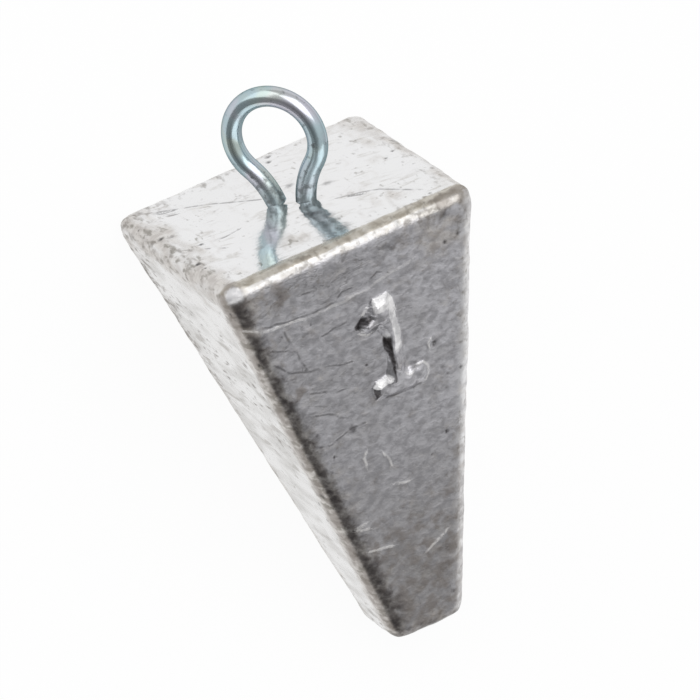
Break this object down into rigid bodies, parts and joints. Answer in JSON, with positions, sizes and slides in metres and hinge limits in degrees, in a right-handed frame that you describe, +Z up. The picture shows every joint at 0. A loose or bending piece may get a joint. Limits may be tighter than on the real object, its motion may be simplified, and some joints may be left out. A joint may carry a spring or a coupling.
{
  "type": "pyramid fishing sinker",
  "caption": "Pyramid fishing sinker: a tapered square block of cast lead with a bent wire eye set in its wide end, which takes the line.",
  "frame": {"origin": "on the table under the middle of the sinker's length and width, with the sinker lying on its back face", "axes": "+Z up from the table, +Y along the sinker's length towards the eye, +X to the right as seen from the tip"},
  "size_m": [0.0146, 0.0312, 0.0143],
  "materials": {
    "cast_lead": "bright cast lead, as it leaves the mould",
    "plated_wire": "bluish zinc plate on drawn steel wire"
  },
  "bodies": {
    "root": {"lead_body": "cast_lead", "wire_eye": "plated_wire"}
  },
  "joints": []
}
